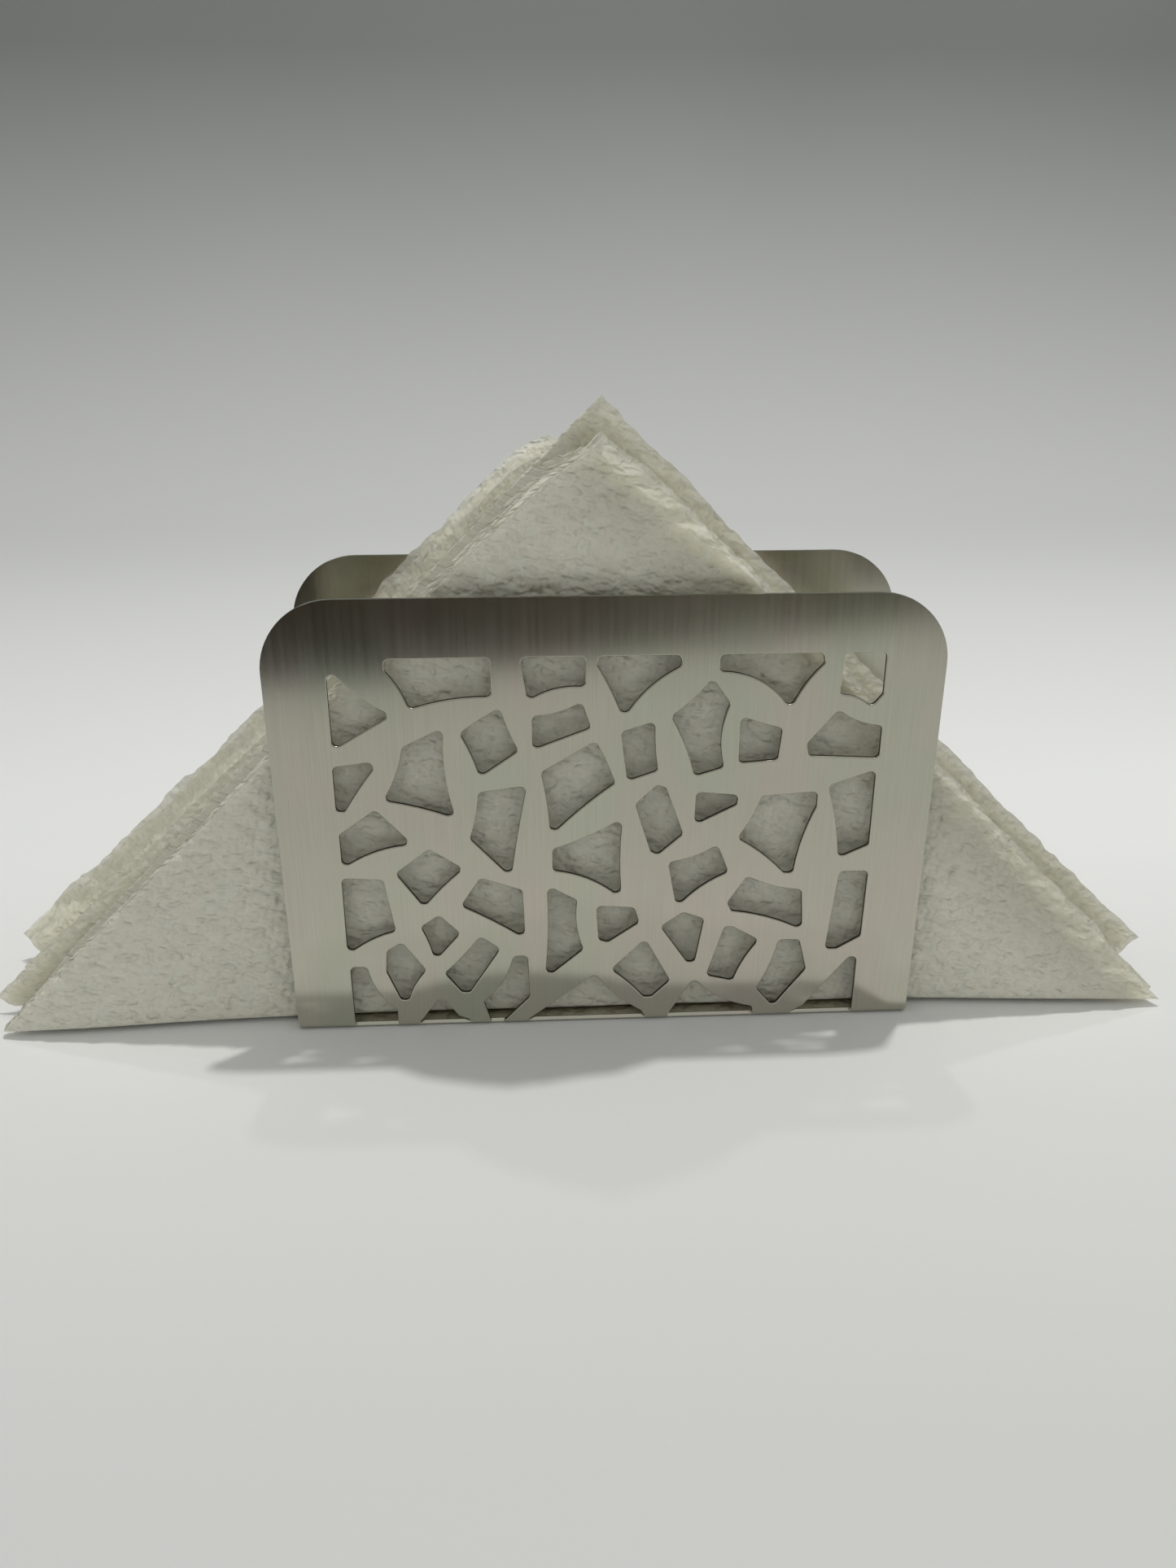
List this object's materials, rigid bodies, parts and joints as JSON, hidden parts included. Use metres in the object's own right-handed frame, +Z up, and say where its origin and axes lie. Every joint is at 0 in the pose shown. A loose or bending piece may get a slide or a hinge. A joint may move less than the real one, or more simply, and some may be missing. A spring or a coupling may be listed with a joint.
{
  "type": "napkin holder",
  "caption": "Upright table napkin holder bent from one pierced stainless sheet, with folded paper napkins standing in it.",
  "frame": {"origin": "on the table, at the middle of the holder's flat bottom", "axes": "+X along the holder, +Y from its front face to its back face, +Z up"},
  "size_m": [0.2456, 0.036, 0.1191],
  "materials": {
    "brushed_steel": "fine vertical brushing, satin",
    "tissue_paper": "matt, embossed with fine dimples"
  },
  "bodies": {
    "holder": {"holder_sheet": "brushed_steel"},
    "napkin_1": {"napkin_1": "tissue_paper"},
    "napkin_2": {"napkin_2": "tissue_paper"},
    "napkin_3": {"napkin_3": "tissue_paper"},
    "napkin_4": {"napkin_4": "tissue_paper"},
    "napkin_5": {"napkin_5": "tissue_paper"},
    "napkin_6": {"napkin_6": "tissue_paper"},
    "napkin_7": {"napkin_7": "tissue_paper"},
    "napkin_8": {"napkin_8": "tissue_paper"}
  },
  "joints": [
    {"name": "napkin_1_lift", "type": "slide", "parent": "holder", "child": "napkin_1", "axis": [0, 0, 1], "range_m": [0, 0.1]},
    {"name": "napkin_2_lift", "type": "slide", "parent": "holder", "child": "napkin_2", "axis": [0, 0, 1], "range_m": [0, 0.1]},
    {"name": "napkin_3_lift", "type": "slide", "parent": "holder", "child": "napkin_3", "axis": [0, 0, 1], "range_m": [0, 0.1]},
    {"name": "napkin_4_lift", "type": "slide", "parent": "holder", "child": "napkin_4", "axis": [0, 0, 1], "range_m": [0, 0.1]},
    {"name": "napkin_5_lift", "type": "slide", "parent": "holder", "child": "napkin_5", "axis": [0, 0, 1], "range_m": [0, 0.1]},
    {"name": "napkin_6_lift", "type": "slide", "parent": "holder", "child": "napkin_6", "axis": [0, 0, 1], "range_m": [0, 0.1]},
    {"name": "napkin_7_lift", "type": "slide", "parent": "holder", "child": "napkin_7", "axis": [0, 0, 1], "range_m": [0, 0.1]},
    {"name": "napkin_8_lift", "type": "slide", "parent": "holder", "child": "napkin_8", "axis": [0, 0, 1], "range_m": [0, 0.1]}
  ]
}
